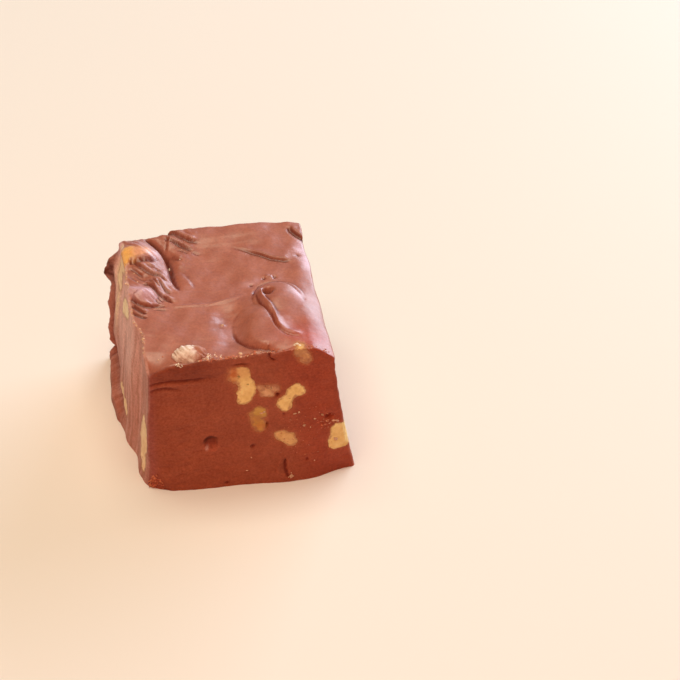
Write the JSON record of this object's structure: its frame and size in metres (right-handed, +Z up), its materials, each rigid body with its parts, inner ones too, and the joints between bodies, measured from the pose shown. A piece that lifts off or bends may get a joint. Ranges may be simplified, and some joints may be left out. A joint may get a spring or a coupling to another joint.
{
  "type": "chocolate fudge square with walnuts",
  "caption": "Thick hand-cut square of chocolate fudge with a folded and swirled top, walnut pieces showing on its cut sides and one standing out of the top edge.",
  "frame": {"origin": "middle of the flat base, under the centre of the outline, on the surface the piece stands on", "axes": "+Z up, +X to the right along the cut front face, +Y from the front face to the back"},
  "size_m": [0.0601, 0.0567, 0.0435],
  "materials": {
    "fudge": "satin",
    "walnut": "matte",
    "walnut_dusty": "matte"
  },
  "bodies": {
    "root": {"fudge": "fudge", "walnut_front_upper": "walnut", "walnut_front_smear": "walnut", "walnut_front_slanting": "walnut", "walnut_front_olive": "walnut", "walnut_front_lower": "walnut", "walnut_front_edge": "walnut", "walnut_top_edge": "walnut", "walnut_left_corner": "walnut", "walnut_left_upper": "walnut", "walnut_left_streak": "walnut", "walnut_left_edge": "walnut", "walnut_right_middle": "walnut", "walnut_right_lower": "walnut", "walnut_right_back": "walnut", "walnut_back_upper": "walnut", "walnut_back_middle": "walnut", "walnut_back_lower": "walnut", "walnut_top_dome": "walnut_dusty"}
  },
  "joints": []
}
